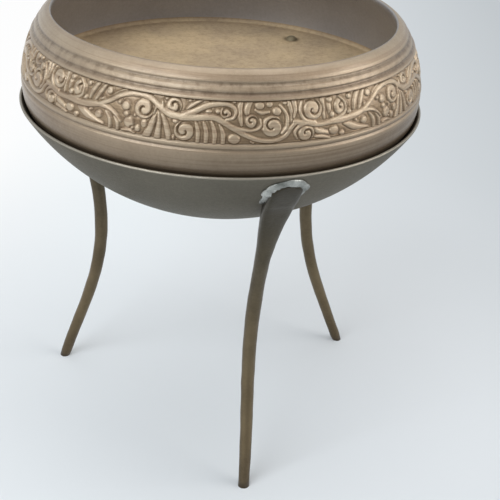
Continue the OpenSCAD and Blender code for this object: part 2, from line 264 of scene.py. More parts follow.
# Fronds: middle line, then the width at its start, middle and end
FRONDS = (
    (((5.2, 4.3), (8.6, 2.2), (14.6, 0.9)), 2.2, 2.3, 0.7),
    (((8.8, 7.6), (9.4, 9.8), (11.2, 12.9)), 0.9, 1.8, 1.6),
    (((10.9, 7.4), (12.1, 9.8), (13.9, 12.9)), 0.9, 1.7, 1.4),
    (((15.2, 5.2), (16.9, 2.9), (17, 0.2)), 0.9, 1.5, 1.2),
    (((17.8, 4.9), (19.5, 2.7), (19.7, 0)), 0.9, 1.5, 1.3),
    (((15.9, 8.6), (18.2, 10.6), (21.2, 12.8)), 1.0, 1.8, 1.1),
    (((31.9, 9.8), (31, 5.6), (29, -0.1)), 0.9, 1.9, 2.7),
    (((32.5, 9.6), (32.8, 5), (32.4, -0.1)), 0.9, 1.6, 2.3),
    (((33, 9.2), (34.8, 4.8), (36.3, -0.1)), 0.9, 1.7, 2.2),
    (((43.6, 6.5), (44.4, 3.4), (44.4, -0.1)), 0.9, 1.6, 1.3),
    (((45.9, 6.8), (46.8, 3.4), (46.8, -0.1)), 0.9, 1.6, 1.4),
    (((48.2, 7), (49.2, 3.5), (49.2, -0.1)), 0.9, 1.6, 1.4),
    (((50.7, 6), (51.7, 3), (51.7, -0.1)), 0.9, 1.5, 1.3),
    (((57, 6), (56.4, 9.4), (56.6, 13)), 0.9, 1.8, 1.6),
    (((58.9, 8.6), (58.5, 10.4), (59.6, 13)), 1.1, 2.0, 1.7),
    (((71.8, 6.4), (72.4, 9), (71.2, 12.9)), 0.9, 1.6, 1.5),
    (((72.8, 7.8), (73.4, 10.2), (73, 12.9)), 0.8, 1.4, 1.6),
    (((82.8, 6.6), (82.5, 9.8), (82.6, 13)), 0.9, 1.6, 1.4),
    (((84.9, 6.7), (84.7, 9.8), (84.8, 13)), 0.9, 1.6, 1.4),
    (((79.4, 3.7), (82, 2.3), (86.4, 1.5)), 1.6, 2.1, 0.8),
    (((79.6, 1.4), (82.4, 0.9), (84.6, 0.2)), 1.2, 1.3, 0.7),
    (((40.9, 9.8), (42.4, 11.3), (45.2, 12.8)), 0.9, 1.5, 0.9),
    (((65.2, 9.8), (62.8, 9.6), (61.2, 10.4)), 0.8, 1.2, 0.9),
    (((21.2, 0.6), (23.6, 1), (25.4, 0.3)), 0.9, 1.3, 0.7),
)
# Volutes: middle, radius, where the cut enters in degrees, and the way it winds
VOLUTES = (
    ((4.2, 9.3), 2.7, 250, 1),
    ((27.8, 8.3), 3.1, 75, -1),
    ((36.9, 10.5), 2.4, 230, 1),
    ((40.3, 3.3), 3.0, 40, 1),
    ((52.3, 9.4), 1.7, 0, 1),
    ((59.9, 7.2), 2.0, 290, 1),
    ((66, 5.6), 3.2, 330, 1),
    ((76.7, 2.7), 2.6, 230, 1),
    ((79.2, 9.6), 3.1, 130, -1),
)
# Berries and buds: middle, half width and half height
BERRIES = (
    ((12.7, 3.5), 1.3, 1.3), ((15.6, 11.4), 1.3, 1.2), ((13.7, 8.3), 0.9, 0.8), ((21.9, 8.2), 1.5, 1.5),
    ((23.4, 3.5), 1.7, 1.9), ((28.2, 4), 1.1, 1.5), ((26.2, 2), 1.1, 1.1), ((37.8, 6.2), 1.2, 0.9),
    ((54.9, 1.8), 1.9, 1.6), ((62.4, 11.7), 1.5, 1.2), ((65.4, 12), 1.1, 0.9), ((67.6, 9.9), 1.4, 1.3),
    ((22.3, 5.8), 1.1, 0.9), ((19.6, 8.9), 0.9, 0.8), ((1, 2.4), 1.7, 1.4), ((3.9, 1.1), 1.1, 0.9),
    ((0.6, 7.4), 0.9, 1.0), ((7, 7.3), 0.9, 0.9), ((47.2, 9.7), 1.1, 0.8), ((50, 9.8), 0.9, 0.7),
    ((60.4, 1.1), 0.9, 0.8), ((34.6, 12.2), 0.8, 0.6), ((57.7, 4.9), 0.7, 0.6), ((9.4, 4.2), 0.8, 0.5),
    ((41.6, 12.4), 0.8, 0.5), ((70.2, 12.2), 0.7, 0.6), ((0.2, 11.8), 1.1, 0.9), ((7.6, 11.8), 1.0, 0.9),
    ((24.6, 1.9), 0.6, 0.5), ((25.2, 5.9), 0.6, 0.6), ((37.3, 1), 0.6, 0.8),
    ((54.9, 12.6), 0.8, 0.4), ((48.6, 12.9), 0.8, 0.4),
)


def curve_through(points, count):
    """Points on a smooth curve through the given ones."""
    pts = np.array(points, float)
    pts = np.vstack((2 * pts[0] - pts[1], pts, 2 * pts[-1] - pts[-2]))
    curve = []
    for s in np.linspace(0, len(pts) - 3 - 1e-9, count):
        i = int(s)
        t = s - i
        a, b, c, d = pts[i:i + 4]
        curve.append(0.5 * (2 * b + (c - a) * t + (2 * a - 5 * b + 4 * c - d) * t ** 2
                            + (3 * b - a - 3 * c + d) * t ** 3))
    return np.array(curve)


def around(along, middle):
    """Distance along the band to a place, the short way round the repeat."""
    return (along - middle + SCROLL_LONG / 2) % SCROLL_LONG - SCROLL_LONG / 2


def line_distance(along, up, line, halves):
    """Distance outside a line that has these half widths at its points."""
    nearest = np.full(along.shape, 99.0)
    for (x, y), (x2, y2), half, half2 in zip(line, line[1:], halves, halves[1:]):
        dx, dy = x2 - x, y2 - y
        off, rise = around(along, x), up - y
        share = np.clip((off * dx + rise * dy) / (dx * dx + dy * dy + 1e-9), 0, 1)
        reach = np.hypot(off - share * dx, rise - share * dy) - half - share * (half2 - half)
        nearest = np.minimum(nearest, reach)
    return nearest


def stroke_distance(along, up, points, widths):
    """Distance outside a stroke that has these widths at its start, middle and end."""
    line = curve_through(points, 7 * len(points))
    halves = np.interp(np.linspace(0, 1, len(line)), (0, 0.5, 1), widths) / 2
    return line_distance(along, up, line, halves)


def raise_shape(height, distance):
    """Adds one shape to the carving: a low crown with a rounded edge, and a narrow cut round it."""
    cut = smooth((distance + 0.04) / CUT_W)
    crown = EDGE_SHARE + (1 - EDGE_SHARE) * smooth(-distance)
    shape = smooth((0.1 - distance) / EDGE_W) * crown
    return np.where(distance < 0.02, shape, height * cut)


def cut_spiral(height, along, up, middle, radius, enter, way):
    """Cuts the hooked line of a volute."""
    steps = np.linspace(0, 1, 22)
    angles = np.radians(enter) + way * np.radians(330) * steps
    reach = radius * (1.08 - 0.9 * steps ** 0.8)
    line = np.stack((middle[0] + reach * np.cos(angles), middle[1] + reach * np.sin(angles)), 1)
    return height * smooth(line_distance(along, up, line, 0.2 - 0.08 * steps) / 0.24)


def carving(along, up):
    """Height of the carving: 0 in its deepest cuts, GROUND between its shapes and 1 on top."""
    height = np.full(along.shape, GROUND)
    for points, *widths in FRONDS:
        height = raise_shape(height, stroke_distance(along, up, points, widths))
    for middle, half_w, half_h in BERRIES:
        x, y = around(along, middle[0]) / half_w, (up - middle[1]) / half_h
        height = raise_shape(height, (np.hypot(x, y) - 1) * min(half_w, half_h))
    for middle, radius, enter, way in VOLUTES:
        height = raise_shape(height, np.hypot(around(along, middle[0]), up - middle[1]) - radius)
        height = cut_spiral(height, along, up, middle, radius, enter, way)
    stems = [stroke_distance(along, up, points, widths) for points, *widths in STEMS]
    return raise_shape(height, np.min(stems, axis=0))


def scroll_tile():
    """One repeat of the carved band as a closed slab, with the attribute relief for its height."""
    columns, rows, back_rows = 360, 50, 3
    turn = 2 * math.pi / SCROLL_REPEATS
    share = np.linspace(0, 1, columns + 1)
    up = np.linspace(0, FRIEZE_H, rows + 1)
    along_grid, up_grid = np.meshgrid(share * SCROLL_LONG, up, indexing="ij")
    height = carving(along_grid, up_grid)
    # The shapes run out just short of the fillets
    edge = smooth(up_grid / 0.25) * smooth((FRIEZE_H - up_grid) / 0.25)
    height = height * (0.25 + 0.75 * edge)
    front = shoulder(FRIEZE_LOW + up_grid) - FRIEZE_SINK + height * (FRIEZE_SINK - 0.04)
    back_up = np.linspace(FRIEZE_H, 0, back_rows)
    back = shoulder(FRIEZE_LOW + back_up) - FRIEZE_SINK - 0.15
    points, relief, faces = [], [], []
    row_long = rows + 1 + back_rows
    for i, angle in enumerate(share * turn + math.radians(SCROLL_TURN - 90)):
        radii = np.concatenate((front[i], back))
        rises = RIM_H + FRIEZE_LOW + np.concatenate((up, back_up))
        points += [(r * math.cos(angle), r * math.sin(angle), z) for r, z in zip(radii, rises)]
        relief += [*height[i], *[0] * back_rows]
    for i in range(columns):
        for j in range(row_long):
            n = (j + 1) % row_long
            a, b = i * row_long, (i + 1) * row_long
            faces.append((a + j, b + j, b + n, a + n))
    mesh = bpy.data.meshes.new("scroll_tile")
    mesh.from_pydata([tuple(c * MM for c in p) for p in points], [], faces)
    layer = mesh.attributes.new("relief", "FLOAT", "POINT")
    layer.data.foreach_set("value", relief)
    return mesh


def repeat_round(name, mesh, count, material):
    """Repeats a mesh about the axis with Geometry Nodes, welds the copies and gives a plain mesh."""
    tree = bpy.data.node_groups.new("repeat_round_axis", "GeometryNodeTree")
    face = tree.interface
    face.new_socket("Geometry", in_out="INPUT", socket_type="NodeSocketGeometry")
    copies = face.new_socket("Copies", in_out="INPUT", socket_type="NodeSocketInt")
    finish = face.new_socket("Finish", in_out="INPUT", socket_type="NodeSocketMaterial")
    face.new_socket("Geometry", in_out="OUTPUT", socket_type="NodeSocketGeometry")
    nodes, links = tree.nodes, tree.links
    start = nodes.new("NodeGroupInput")
    end = nodes.new("NodeGroupOutput")
    points = nodes.new("GeometryNodePoints")
    index = nodes.new("GeometryNodeInputIndex")
    step = nodes.new("ShaderNodeMath")
    step.operation = "DIVIDE"
    step.inputs[0].default_value = 2 * math.pi
    angle = nodes.new("ShaderNodeMath")
    angle.operation = "MULTIPLY"
    turn = nodes.new("ShaderNodeCombineXYZ")
    place = nodes.new("GeometryNodeInstanceOnPoints")
    real = nodes.new("GeometryNodeRealizeInstances")
    weld = nodes.new("GeometryNodeMergeByDistance")
    weld.inputs["Distance"].default_value = WELD_MM * MM
    paint = nodes.new("GeometryNodeSetMaterial")
    for source, socket in (
            (start.outputs["Copies"], points.inputs["Count"]), (start.outputs["Copies"], step.inputs[1]),
            (index.outputs[0], angle.inputs[0]), (step.outputs[0], angle.inputs[1]),
            (angle.outputs[0], turn.inputs["Z"]), (points.outputs[0], place.inputs["Points"]),
            (start.outputs["Geometry"], place.inputs["Instance"]), (turn.outputs[0], place.inputs["Rotation"]),
            (place.outputs[0], real.inputs[0]), (real.outputs[0], weld.inputs["Geometry"]),
            (weld.outputs[0], paint.inputs["Geometry"]), (start.outputs["Finish"], paint.inputs["Material"]),
            (paint.outputs[0], end.inputs[0])):
        links.new(source, socket)
    source = bpy.data.objects.new(name + "_source", mesh)
    bpy.context.scene.collection.objects.link(source)
    modifier = source.modifiers.new("repeat", "NODES")
    modifier.node_group = tree
    modifier[copies.identifier] = count
    modifier[finish.identifier] = material
    graph = bpy.context.evaluated_depsgraph_get()
    result = bpy.data.meshes.new_from_object(source.evaluated_get(graph), depsgraph=graph)
    bpy.data.objects.remove(source)
    result.name = name
    result.shade_smooth()
    piece = bpy.data.objects.new(name, result)
    bpy.context.scene.collection.objects.link(piece)
    return piece


# ---------------------------------------------------------------- the legs

# Width, thickness at the tip and at the lap's end, place below the rim, lap on the dish and round nose
HEAD_W = 11
HEAD_TIP_T = 1.2
HEAD_T = 2.8
HEAD_DROP = 4.2
HEAD_LAP = 11
HEAD_NOSE = 4.5
# The head's section is an oval this many thicknesses deep, and what lies inside the dish is pushed flat on it
HEAD_OVAL = 1.5
LEG_D = 5.4
FOOT_D = 4.4
FOOT_R = DISH_R - 7.5
WAIST = np.array((DISH_R - 24, RIM_H - 68))
FOOT_SPLAY = math.radians(16)
NECK_END = RIM_H - 46
# Reach of the curve's handles at the head, the waist and the foot
HEAD_HANDLE = 8
WAIST_HANDLE = 24
FOOT_HANDLE = 27
# Depth of the hammer's marks and of the fine grain
BEAT_DEEP = 0.16
GRAIN_DEEP = 0.05
LEG_SIDES = 28
# Turn from -Y in degrees, and sideways lean of the foot
LEGS = {"front": (0, -7), "left": (-128, 8), "right": (115, -15)}


def ball_point(down, out):
    """Point in a leg's plane, at a length down the dish from its rim and a height over it."""
    angle = RIM_ANGLE - down / BALL_R
    return np.array(((BALL_R + out) * math.sin(angle), BALL_Z - (BALL_R + out) * math.cos(angle)))


def bezier(p, c, d, q, t):
    """Point on the curve from p to q that c and d bend."""
    return (1 - t) ** 3 * p + 3 * (1 - t) ** 2 * t * c + 3 * (1 - t) * t * t * d + t ** 3 * q


def leg_stations():
    """Middle of the leg from head to foot, with the nose's share of the width and the head's thickness."""
    stations = []
    for angle in np.radians((5, 14, 24, 36, 48, 60, 75, 90)):
        length = HEAD_NOSE * (1 - math.cos(angle))
        stations.append((length, math.sin(angle)))
    stations += [(length, 1.0) for length in np.linspace(HEAD_NOSE, HEAD_LAP, 8)[1:]]
    line = []
    for length, nose in stations:
        thick = HEAD_TIP_T + (HEAD_T - HEAD_TIP_T) * length / HEAD_LAP
        line.append((ball_point(HEAD_DROP + length, thick / 4), nose, HEAD_OVAL * thick))
    lap_end = line[-1][0]
    slope = RIM_ANGLE - (HEAD_DROP + HEAD_LAP) / BALL_R
    along_dish = np.array((math.cos(slope), math.sin(slope)))
    toe = np.array((FOOT_R, 0.0))
    toe_way = np.array((math.sin(FOOT_SPLAY), -math.cos(FOOT_SPLAY)))
    lift = np.array((0, WAIST_HANDLE))
    bends = ((lap_end, lap_end - HEAD_HANDLE * along_dish, WAIST + lift, WAIST, 27),
             (WAIST, WAIST - lift, toe - FOOT_HANDLE * toe_way, toe, 30))
    for p, c, d, q, count in bends:
        for t in np.linspace(0, 1, count)[1:]:
            line.append((bezier(p, c, d, q, t), 1.0, HEAD_OVAL * HEAD_T))
    return line, lap_end


def build_leg(side, turn, lean):
    """A leg as one loft: a flat oval at the head that grows into round rod, with hammer marks all over."""
    line, lap_end = leg_stations()
    head_foot = lap_end[1] + 2
    middles = np.array([point for point, _, _ in line])
    ways = np.gradient(middles, axis=0)
    ways /= np.linalg.norm(ways, axis=1)[:, None]
    centre = np.array((0, 0, BALL_Z))
    points = []
    for (middle, nose, head), way in zip(line, ways):
        z = middle[1]
        round_share = float(smooth((head_foot - z) / (head_foot - NECK_END)))
        rod = FOOT_D + (LEG_D - FOOT_D) * min(1, z / WAIST[1])
        width = nose * (HEAD_W + (rod - HEAD_W) * round_share)
        depth = head + (rod - head) * round_share
        power = 0.5 + 0.5 * round_share
        sideways = lean * max(0, 1 - z / lap_end[1]) ** 2
        for a in np.arange(LEG_SIDES) * 2 * math.pi / LEG_SIDES:
            c, s = math.cos(a), math.sin(a)
            side_off = width / 2 * math.copysign(abs(c) ** power, c)
            out = depth / 2 * math.copysign(abs(s) ** power, s)
            r, h = middle + out * np.array((-way[1], way[0]))
            point = np.array((side_off + sideways, -r, h))
            beat = noise.noise(Vector(point) * 0.16 + Vector((turn, 0, 0)))
            grain = noise.noise(Vector(point) * 0.5 + Vector((0, turn, 0)))
            point += (BEAT_DEEP * beat + GRAIN_DEEP * grain) * np.array((c, -s, 0))
            from_ball = point - centre
            reach = np.linalg.norm(from_ball)
            if reach < BALL_R:
                point = centre + from_ball * (BALL_R + 0.01) / reach
            if z < 0.01:
                point[2] = 0.0
            points.append(point)
    faces = ring_faces(len(line), LEG_SIDES)
    points = spin_points(points, turn)
    return make_piece("leg_" + side + "_rod", points, faces, "stand", "leg_" + side)


def spin_points(points, turn):
    """Points turned about the axis by an angle in degrees."""
    c, s = math.cos(math.radians(turn)), math.sin(math.radians(turn))
    return [(p[0] * c - p[1] * s, p[0] * s + p[1] * c, p[2]) for p in points]


# ---------------------------------------------------------------- the solder

SOLDER_W = 2.9
SOLDER_T = 1.05
SOLDER_TUCK = 0.5
# How far the solder runs down the head's left and right side
SOLDER_TONGUES = (8.5, 5.0)


def over_dish(sideways, down, out):
    """Point at a length to the side of a leg and down the dish from its rim, and a height over the dish."""
    angle = RIM_ANGLE - down / BALL_R
    turn = sideways / BALL_R / math.sin(angle)
    r = (BALL_R + out) * math.sin(angle)
    return (r * math.sin(turn), -r * math.cos(turn), BALL_Z - (BALL_R + out) * math.cos(angle))


def build_solder(side, turn):
    """A lumpy run of solder round the head's top, with a tongue down each of its sides."""
    path = []
    for share in np.linspace(1, 0.06, 16):
        path.append((-HEAD_W / 2, HEAD_DROP + HEAD_NOSE + share * SOLDER_TONGUES[0], -1.0, 0.0))
    for angle in np.radians(np.linspace(-90, 90, 43)):
        path.append((HEAD_W / 2 * math.sin(angle), HEAD_DROP + HEAD_NOSE * (1 - math.cos(angle)),
                     math.sin(angle), -math.cos(angle)))
    for share in np.linspace(0.06, 1, 10):
        path.append((HEAD_W / 2, HEAD_DROP + HEAD_NOSE + share * SOLDER_TONGUES[1], 1.0, 0.0))
    arcs = np.radians((90, 74, 60, 46, 34, 22, 11, 0))
    points = []
    for i, (x, down, away_x, away_down) in enumerate(path):
        share = i / (len(path) - 1)
        end = float(smooth(share / 0.2) * smooth((1 - share) / 0.16))
        lump = noise.noise(Vector((share * 9, turn, 0.3)))
        thick = SOLDER_T * (0.22 + 0.78 * end) * (1 + 0.35 * lump)
        width = min(SOLDER_W * (0.5 + 0.5 * end) * (1 + 0.5 * lump), SOLDER_W)
        tucked = (x - SOLDER_TUCK * away_x, down - SOLDER_TUCK * away_down)
        points += [over_dish(*tucked, 0.05), over_dish(*tucked, thick + 0.1)]
        for arc in arcs:
            run = width * math.cos(arc)
            fine = noise.noise(Vector((share * 20, run * 0.7, turn + 4.1)))
            rise = thick * math.sin(arc) ** 0.7 * (1 + 0.45 * fine) + 0.02
            points.append(over_dish(x + run * away_x, down + run * away_down, rise))
    faces = ring_faces(len(path), len(arcs) + 2)
    points = spin_points(points, turn)
    return make_piece("solder_" + side + "_run", points, faces, "stand", "solder_" + side)


# ---------------------------------------------------------------- the dish

def dish_profile():
    """The dish's sheet, with a rounded rim and a slightly uneven spun wall."""
    profile = []
    rim_t = DISH_WALL / 2
    inner = BALL_R - DISH_WALL
    for angle in np.linspace(0, RIM_ANGLE - 0.008, 44):
        uneven = 0.05 * math.sin(9 * angle)
        profile.append(((BALL_R + uneven) * math.sin(angle), BALL_Z - BALL_R * math.cos(angle)))
    middle = BALL_R - rim_t
    edge_angle = RIM_ANGLE - 0.0075
    for roll in np.radians(np.linspace(0, 180, 9)):
        reach = middle + rim_t * math.cos(roll)
        slip = rim_t * math.sin(roll)
        profile.append((reach * math.sin(edge_angle) + slip * math.cos(edge_angle),
                        BALL_Z - reach * math.cos(edge_angle) + slip * math.sin(edge_angle)))
    for angle in np.linspace(RIM_ANGLE - 0.02, 0, 40):
        profile.append((inner * math.sin(angle), BALL_Z - inner * math.cos(angle)))
    return profile


# ---------------------------------------------------------------- materials

WHITE = (1.0, 1.0, 1.0)


def shader_group(name, inputs, outputs):
    group = bpy.data.node_groups.new(name, "ShaderNodeTree")
    for label, kind, default in inputs:
        socket = group.interface.new_socket(label, in_out="INPUT", socket_type=kind)
        socket.default_value = default
    for label, kind in outputs:
        group.interface.new_socket(label, in_out="OUTPUT", socket_type=kind)
    return group, group.nodes.new("NodeGroupInput"), group.nodes.new("NodeGroupOutput")


def put(tree, kind, **values):
    """Adds a node; a value goes to the property or else to the input of that name."""
    node = tree.nodes.new(kind)
    for key, value in values.items():
        if hasattr(node, key):
            setattr(node, key, value)
        else:
            node.inputs[key.replace("_", " ")].default_value = value
    return node


def ramp(tree, source, stops):
    node = tree.nodes.new("ShaderNodeValToRGB")
    elements = node.color_ramp.elements
    while len(elements) < len(stops):
        elements.new(0.5)
    for element, (place, colour) in zip(elements, stops):
        element.position = place
        element.color = (colour, colour, colour, 1) if isinstance(colour, float) else (*colour, 1)
    tree.links.new(source, node.inputs["Fac"])
    return node.outputs["Color"]


def mix_colours(tree, share, first, second, blend="MIX"):
    node = tree.nodes.new("ShaderNodeMix")
    node.data_type = "RGBA"
    node.blend_type = blend
    for socket, value in ((node.inputs[0], share), (node.inputs[6], first), (node.inputs[7], second)):
        if isinstance(value, bpy.types.NodeSocket):
            tree.links.new(value, socket)
        elif isinstance(value, (int, float)):
            socket.default_value = value
        else:
            socket.default_value = (*value, 1)
    return node.outputs[2]


def tint(tree, colour, shade, share=1.0):
    """A colour times a shade, by a share."""
    return mix_colours(tree, share, colour, shade, "MULTIPLY")


def sums(tree, operation, first, second=None, third=None):
    node = tree.nodes.new("ShaderNodeMath")
    node.operation = operation
    for socket, value in zip(node.inputs, (first, second, third)):
        if isinstance(value, bpy.types.NodeSocket):
            tree.links.new(value, socket)
        elif value is not None:
            socket.default_value = value
    return node.outputs[0]


def split(tree, vector):
    """The three parts of a vector."""
    node = put(tree, "ShaderNodeSeparateXYZ")
    tree.links.new(vector, node.inputs[0])
    return node.outputs


def length(tree, vector):
    node = put(tree, "ShaderNodeVectorMath", operation="LENGTH")
    tree.links.new(vector, node.inputs[0])
    return node.outputs["Value"]


def spread(tree, value, low, high, to_low=0.0, to_high=1.0, ease="LINEAR"):
    """Maps a value from one range to another, and stops at both ends."""
    node = put(tree, "ShaderNodeMapRange", interpolation_type=ease, From_Min=low, From_Max=high,
               To_Min=to_low, To_Max=to_high)
    tree.links.new(value, node.inputs["Value"])
    return node.outputs[0]


def tarnish_group():
    """Old metal: patchy colour between clean and tarnished, fine scratches and specks of roughness."""
    group, start, end = shader_group(
        "tarnish",
        (("Clean", "NodeSocketColor", (0.5, 0.4, 0.25, 1)),
         ("Tarnished", "NodeSocketColor", (0.1, 0.08, 0.05, 1)),
         ("Tarnish", "NodeSocketFloat", 0.5), ("Patch Size", "NodeSocketFloat", 60.0),
         ("Contrast", "NodeSocketFloat", 0.6), ("Roughness", "NodeSocketFloat", 0.4)),
        (("Color", "NodeSocketColor"), ("Roughness", "NodeSocketFloat"), ("Height", "NodeSocketFloat")))
    links = group.links
    place = put(group, "ShaderNodeTexCoord")
    patches = put(group, "ShaderNodeTexNoise", Detail=6.0, Roughness=0.62)
    specks = put(group, "ShaderNodeTexNoise", Scale=900.0, Detail=3.0, Roughness=0.7)
    fine = put(group, "ShaderNodeTexNoise", Scale=2600.0, Detail=2.0)
    for node in (patches, specks, fine):
        links.new(place.outputs["Object"], node.inputs["Vector"])
    links.new(start.outputs["Patch Size"], patches.inputs["Scale"])
    swing = sums(group, "MULTIPLY_ADD", patches.outputs["Fac"], 2.0, -1.0)
    swing = sums(group, "MULTIPLY_ADD", swing, start.outputs["Contrast"], start.outputs["Tarnish"])
    speck_swing = sums(group, "MULTIPLY_ADD", specks.outputs["Fac"], 0.5, -0.25)
    share = sums(group, "ADD", swing, speck_swing)
    share = sums(group, "MINIMUM", sums(group, "MAXIMUM", share, 0.0), 1.0)
    colour = mix_colours(group, share, start.outputs["Clean"], start.outputs["Tarnished"])
    links.new(colour, end.inputs["Color"])
    rough = sums(group, "MULTIPLY_ADD", share, 0.16, start.outputs["Roughness"])
    rough = sums(group, "MULTIPLY_ADD", specks.outputs["Fac"], 0.12, rough)
    links.new(rough, end.inputs["Roughness"])
    height = sums(group, "MULTIPLY_ADD", specks.outputs["Fac"], 0.6, fine.outputs["Fac"])
    links.new(height, end.inputs["Height"])
    return group


def lathe_group():
    """Fine rings left by turning, about the axis, by height or by radius."""
    group, start, end = shader_group(
        "lathe_rings",
        (("Ring Size", "NodeSocketFloat", 1500.0), ("Flat", "NodeSocketFloat", 0.0)),
        (("Height", "NodeSocketFloat"),))
    links = group.links
    x, y, z = split(group, put(group, "ShaderNodeTexCoord").outputs["Object"])
    radius = sums(group, "SQRT", sums(group, "ADD", sums(group, "POWER", x, 2.0), sums(group, "POWER", y, 2.0)))
    turned = put(group, "ShaderNodeMix", data_type="FLOAT")
    links.new(start.outputs["Flat"], turned.inputs[0])
    links.new(z, turned.inputs[2])
    links.new(radius, turned.inputs[3])
    line = sums(group, "MULTIPLY", turned.outputs[0], start.outputs["Ring Size"])
    rings = put(group, "ShaderNodeTexNoise", noise_dimensions="1D", Detail=4.0, Roughness=0.6)
    rings.inputs["Scale"].default_value = 1.0
    links.new(line, rings.inputs["W"])
    links.new(rings.outputs["Fac"], end.inputs["Height"])
    return group


def stretched_noise_group():
    """Noise drawn out flat or upright, for turning streaks and the tool's chatter marks."""
    group, start, end = shader_group(
        "stretched_noise",
        (("Round", "NodeSocketFloat", 10.0), ("Up", "NodeSocketFloat", 1000.0)),
        (("Mask", "NodeSocketFloat"),))
    place = put(group, "ShaderNodeTexCoord")
    scales = put(group, "ShaderNodeCombineXYZ")
    stretch = put(group, "ShaderNodeVectorMath", operation="MULTIPLY")
    grain = put(group, "ShaderNodeTexNoise", Scale=1.0, Detail=3.0, Roughness=0.6)
    for source, socket in (("Round", "X"), ("Round", "Y"), ("Up", "Z")):
        group.links.new(start.outputs[source], scales.inputs[socket])
    group.links.new(place.outputs["Object"], stretch.inputs[0])
    group.links.new(scales.outputs[0], stretch.inputs[1])
    group.links.new(stretch.outputs[0], grain.inputs["Vector"])
    group.links.new(grain.outputs["Fac"], end.inputs["Mask"])
    return group


TARNISH = tarnish_group()
LATHE = lathe_group()
STREAKS = stretched_noise_group()


def new_material(name, metallic, bump):
    material = bpy.data.materials.new(name)
    material.use_nodes = True
    tree = material.node_tree
    shader = tree.nodes["Principled BSDF"]
    shader.inputs["Metallic"].default_value = metallic
    bumps = put(tree, "ShaderNodeBump", Strength=bump, Distance=0.0004)
    tree.links.new(bumps.outputs[0], shader.inputs["Normal"])
    return material, tree, shader, bumps


def add_group(tree, group, **values):
    node = tree.nodes.new("ShaderNodeGroup")
    node.node_tree = group
    for key, value in values.items():
        node.inputs[key.replace("_", " ")].default_value = value
    return node


def height_share(tree, low, high):
    """0 at one height in the part's own frame and 1 at the other, in millimetres above the dish's rim."""
    up = split(tree, put(tree, "ShaderNodeTexCoord").outputs["Object"])[2]
    return spread(tree, up, (RIM_H + low) * MM, (RIM_H + high) * MM)


def plain_metal(name, clean, tarnished, tarnish, rough, metallic=0.85, patch=60.0, contrast=0.6, bump=0.25,
                coat=0.0):
    """Old metal of one range of colours. Returns the material and the nodes that others build on."""
    material, tree, shader, bumps = new_material(name, metallic, bump)
    shader.inputs["Coat Weight"].default_value = coat
    shader.inputs["Coat Roughness"].default_value = 0.2
    old = add_group(tree, TARNISH, Clean=(*clean, 1), Tarnished=(*tarnished, 1), Tarnish=tarnish,
                    Patch_Size=patch, Contrast=contrast, Roughness=rough)
    tree.links.new(old.outputs["Color"], shader.inputs["Base Color"])
    tree.links.new(old.outputs["Roughness"], shader.inputs["Roughness"])
    tree.links.new(old.outputs["Height"], bumps.inputs["Height"])
    return material, tree, shader, bumps, old


# One painted shade for each part of the turned wall: painted shade in the grooves and down the belly, a painted
# highlight on the fillets. The belly has one at its foot and one at its top.
PLAIN_TONE = 0.66
LIP_TONE = 0.7
FILLET_PAINTED_HIGHLIGHT = 0.75
BAND_TONE = 0.9
GROOVE_PAINTED_SHADE = 0.45
BELLY_PAINTED_SHADES = (0.3, 0.55)
# Rises between which the shades run, and the height over which the band's comes in
TONES_FROM = -3
TONES_TO = 32
BAND_FADE = 0.6


def wall_painted_shade(tree):
    """Painted shade and light on the turned wall by height: painted shade in the grooves and down the belly, a
    painted highlight on the fillets, and browner where darker.
    """
    tones = [(TONES_FROM, BELLY_PAINTED_SHADES[0]), (BELLY_RISE, BELLY_PAINTED_SHADES[1]),
             (LIP_RISE, LIP_TONE), (TONES_TO, LIP_TONE)]
    for middle in GROOVES:
        tones += [(middle - GROOVE_W / 2, PLAIN_TONE), (middle, GROOVE_PAINTED_SHADE), (middle + GROOVE_W / 2, PLAIN_TONE)]
    for middle in (FRIEZE_LOW - FILLET_H / 2, FRIEZE_TOP + FILLET_H / 2):
        tones.append((middle, FILLET_PAINTED_HIGHLIGHT))
    tones += [(FRIEZE_LOW, PLAIN_TONE), (FRIEZE_LOW + BAND_FADE, BAND_TONE),
              (FRIEZE_TOP - BAND_FADE, BAND_TONE), (FRIEZE_TOP, PLAIN_TONE)]
    stops = []
    for rise, tone in sorted(tones):
        shade = (tone, tone * (0.94 + 0.06 * tone), tone * (0.9 + 0.1 * tone))
        stops.append(((rise - TONES_FROM) / (TONES_TO - TONES_FROM), shade))
    return ramp(tree, height_share(tree, TONES_FROM, TONES_TO), stops)


def groove_mask(tree):
    """1 in the grooves above the carved band, where the tool has chattered most."""
    share = height_share(tree, 24.6, 29.2)
    return ramp(tree, share, ((0.0, 0.0), (0.2, 1.0), (0.36, 0.45), (0.62, 0.4), (0.74, 1.0), (1.0, 0.0)))


